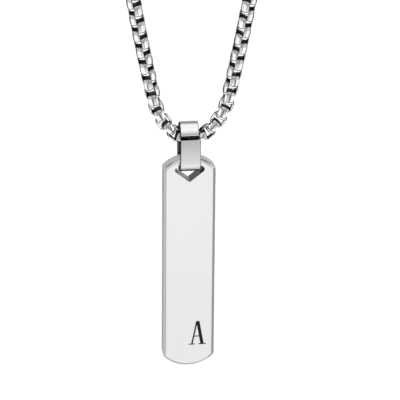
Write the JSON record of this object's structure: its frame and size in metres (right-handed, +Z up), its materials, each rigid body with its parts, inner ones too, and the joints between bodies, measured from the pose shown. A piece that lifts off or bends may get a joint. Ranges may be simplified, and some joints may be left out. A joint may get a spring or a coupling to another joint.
{
  "type": "initial pendant necklace",
  "caption": "Upright polished steel bar pendant with rounded ends and one inlaid letter, on a folded strip bail and a rounded box chain loop.",
  "frame": {"origin": "underside of the loop's top, where the necklace rests on a neck, peg or stand", "axes": "+Z up along the hanging necklace, the loop in the XZ plane, the bar's lettered face towards -Y, +X to the right as seen from the front"},
  "size_m": [0.09, 0.006, 0.3186],
  "materials": {
    "chain_steel": "polished stainless steel",
    "clasp_steel": "polished stainless steel",
    "bail_steel": "polished stainless steel",
    "bar_steel": "mirror polished stainless steel",
    "black_inlay": "black enamel"
  },
  "bodies": {
    "chain": {"front_chain": "chain_steel", "back_chain": "chain_steel", "clasp": "clasp_steel"},
    "bail": {"bail": "bail_steel"},
    "bar": {"bar_pendant": "bar_steel", "initial": "black_inlay"}
  },
  "joints": [
    {"name": "bail_swing", "type": "hinge", "parent": "chain", "child": "bail", "pos_m": [-0.0004, 0, -0.26661], "axis": [1, 0, 0], "range_deg": [-90, 90]},
    {"name": "bar_swing", "type": "hinge", "parent": "bail", "child": "bar", "pos_m": [-0.0004, 0, -0.27086], "axis": [1, 0, 0], "range_deg": [-75, 75]}
  ]
}
